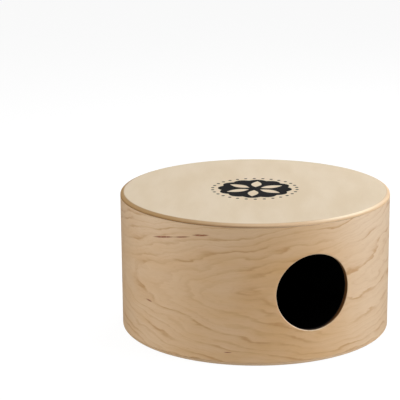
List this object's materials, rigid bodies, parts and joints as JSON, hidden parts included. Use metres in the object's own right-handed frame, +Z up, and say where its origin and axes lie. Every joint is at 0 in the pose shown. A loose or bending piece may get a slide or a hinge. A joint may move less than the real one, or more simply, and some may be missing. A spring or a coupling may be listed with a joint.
{
  "type": "round two-sided box drum",
  "caption": "Round wooden hand drum with a plywood head on both ends and a sound port in its side; snare wires lie behind one head.",
  "frame": {"origin": "middle of the lower head's outside face, which is the surface that the drum stands on", "axes": "+Z up along the drum's own axis, from the plain head to the snare head; -Y through the middle of the sound port; +X to the right of the port as seen from outside"},
  "size_m": [0.305, 0.305, 0.1575],
  "materials": {
    "maple_shell": "satin clear lacquer over maple veneer, grain running round the drum; matt black inside and in the port",
    "birch_head": "satin clear lacquer over birch veneer, bare plywood at the rounded edge; matt black on the inside face",
    "black_wood": "matt black stain",
    "felt": "pressed wool felt",
    "snare_wire_steel": "bright drawn wire",
    "plate_steel": "rolled steel sheet",
    "zinc_steel": "bright zinc plate"
  },
  "bodies": {
    "root": {"bar_block_left": "black_wood", "bar_block_right": "black_wood", "bar_screw_1": "zinc_steel", "bar_screw_2": "zinc_steel", "bar_screw_3": "zinc_steel", "bar_screw_4": "zinc_steel", "bar_washer_1": "zinc_steel", "bar_washer_2": "zinc_steel", "bar_washer_3": "zinc_steel", "bar_washer_4": "zinc_steel", "bass_head": "birch_head", "bass_side_ring": "black_wood", "clamp_screw_back_1": "zinc_steel", "clamp_screw_back_2": "zinc_steel", "clamp_screw_front_1": "zinc_steel", "clamp_screw_front_2": "zinc_steel", "clamp_strip_back": "zinc_steel", "clamp_strip_front": "zinc_steel", "felt_pad_back": "felt", "felt_pad_front": "felt", "shell": "maple_shell", "snare_bar": "black_wood", "snare_head": "birch_head", "snare_plate_back": "plate_steel", "snare_plate_front": "plate_steel", "snare_side_ring": "black_wood", "snare_wire_back_01": "snare_wire_steel", "snare_wire_back_02": "snare_wire_steel", "snare_wire_back_03": "snare_wire_steel", "snare_wire_back_04": "snare_wire_steel", "snare_wire_back_05": "snare_wire_steel", "snare_wire_back_06": "snare_wire_steel", "snare_wire_back_07": "snare_wire_steel", "snare_wire_back_08": "snare_wire_steel", "snare_wire_back_09": "snare_wire_steel", "snare_wire_back_10": "snare_wire_steel", "snare_wire_back_11": "snare_wire_steel", "snare_wire_back_12": "snare_wire_steel", "snare_wire_front_01": "snare_wire_steel", "snare_wire_front_02": "snare_wire_steel", "snare_wire_front_03": "snare_wire_steel", "snare_wire_front_04": "snare_wire_steel", "snare_wire_front_05": "snare_wire_steel", "snare_wire_front_06": "snare_wire_steel", "snare_wire_front_07": "snare_wire_steel", "snare_wire_front_08": "snare_wire_steel", "snare_wire_front_09": "snare_wire_steel", "snare_wire_front_10": "snare_wire_steel", "snare_wire_front_11": "snare_wire_steel", "snare_wire_front_12": "snare_wire_steel"}
  },
  "joints": []
}
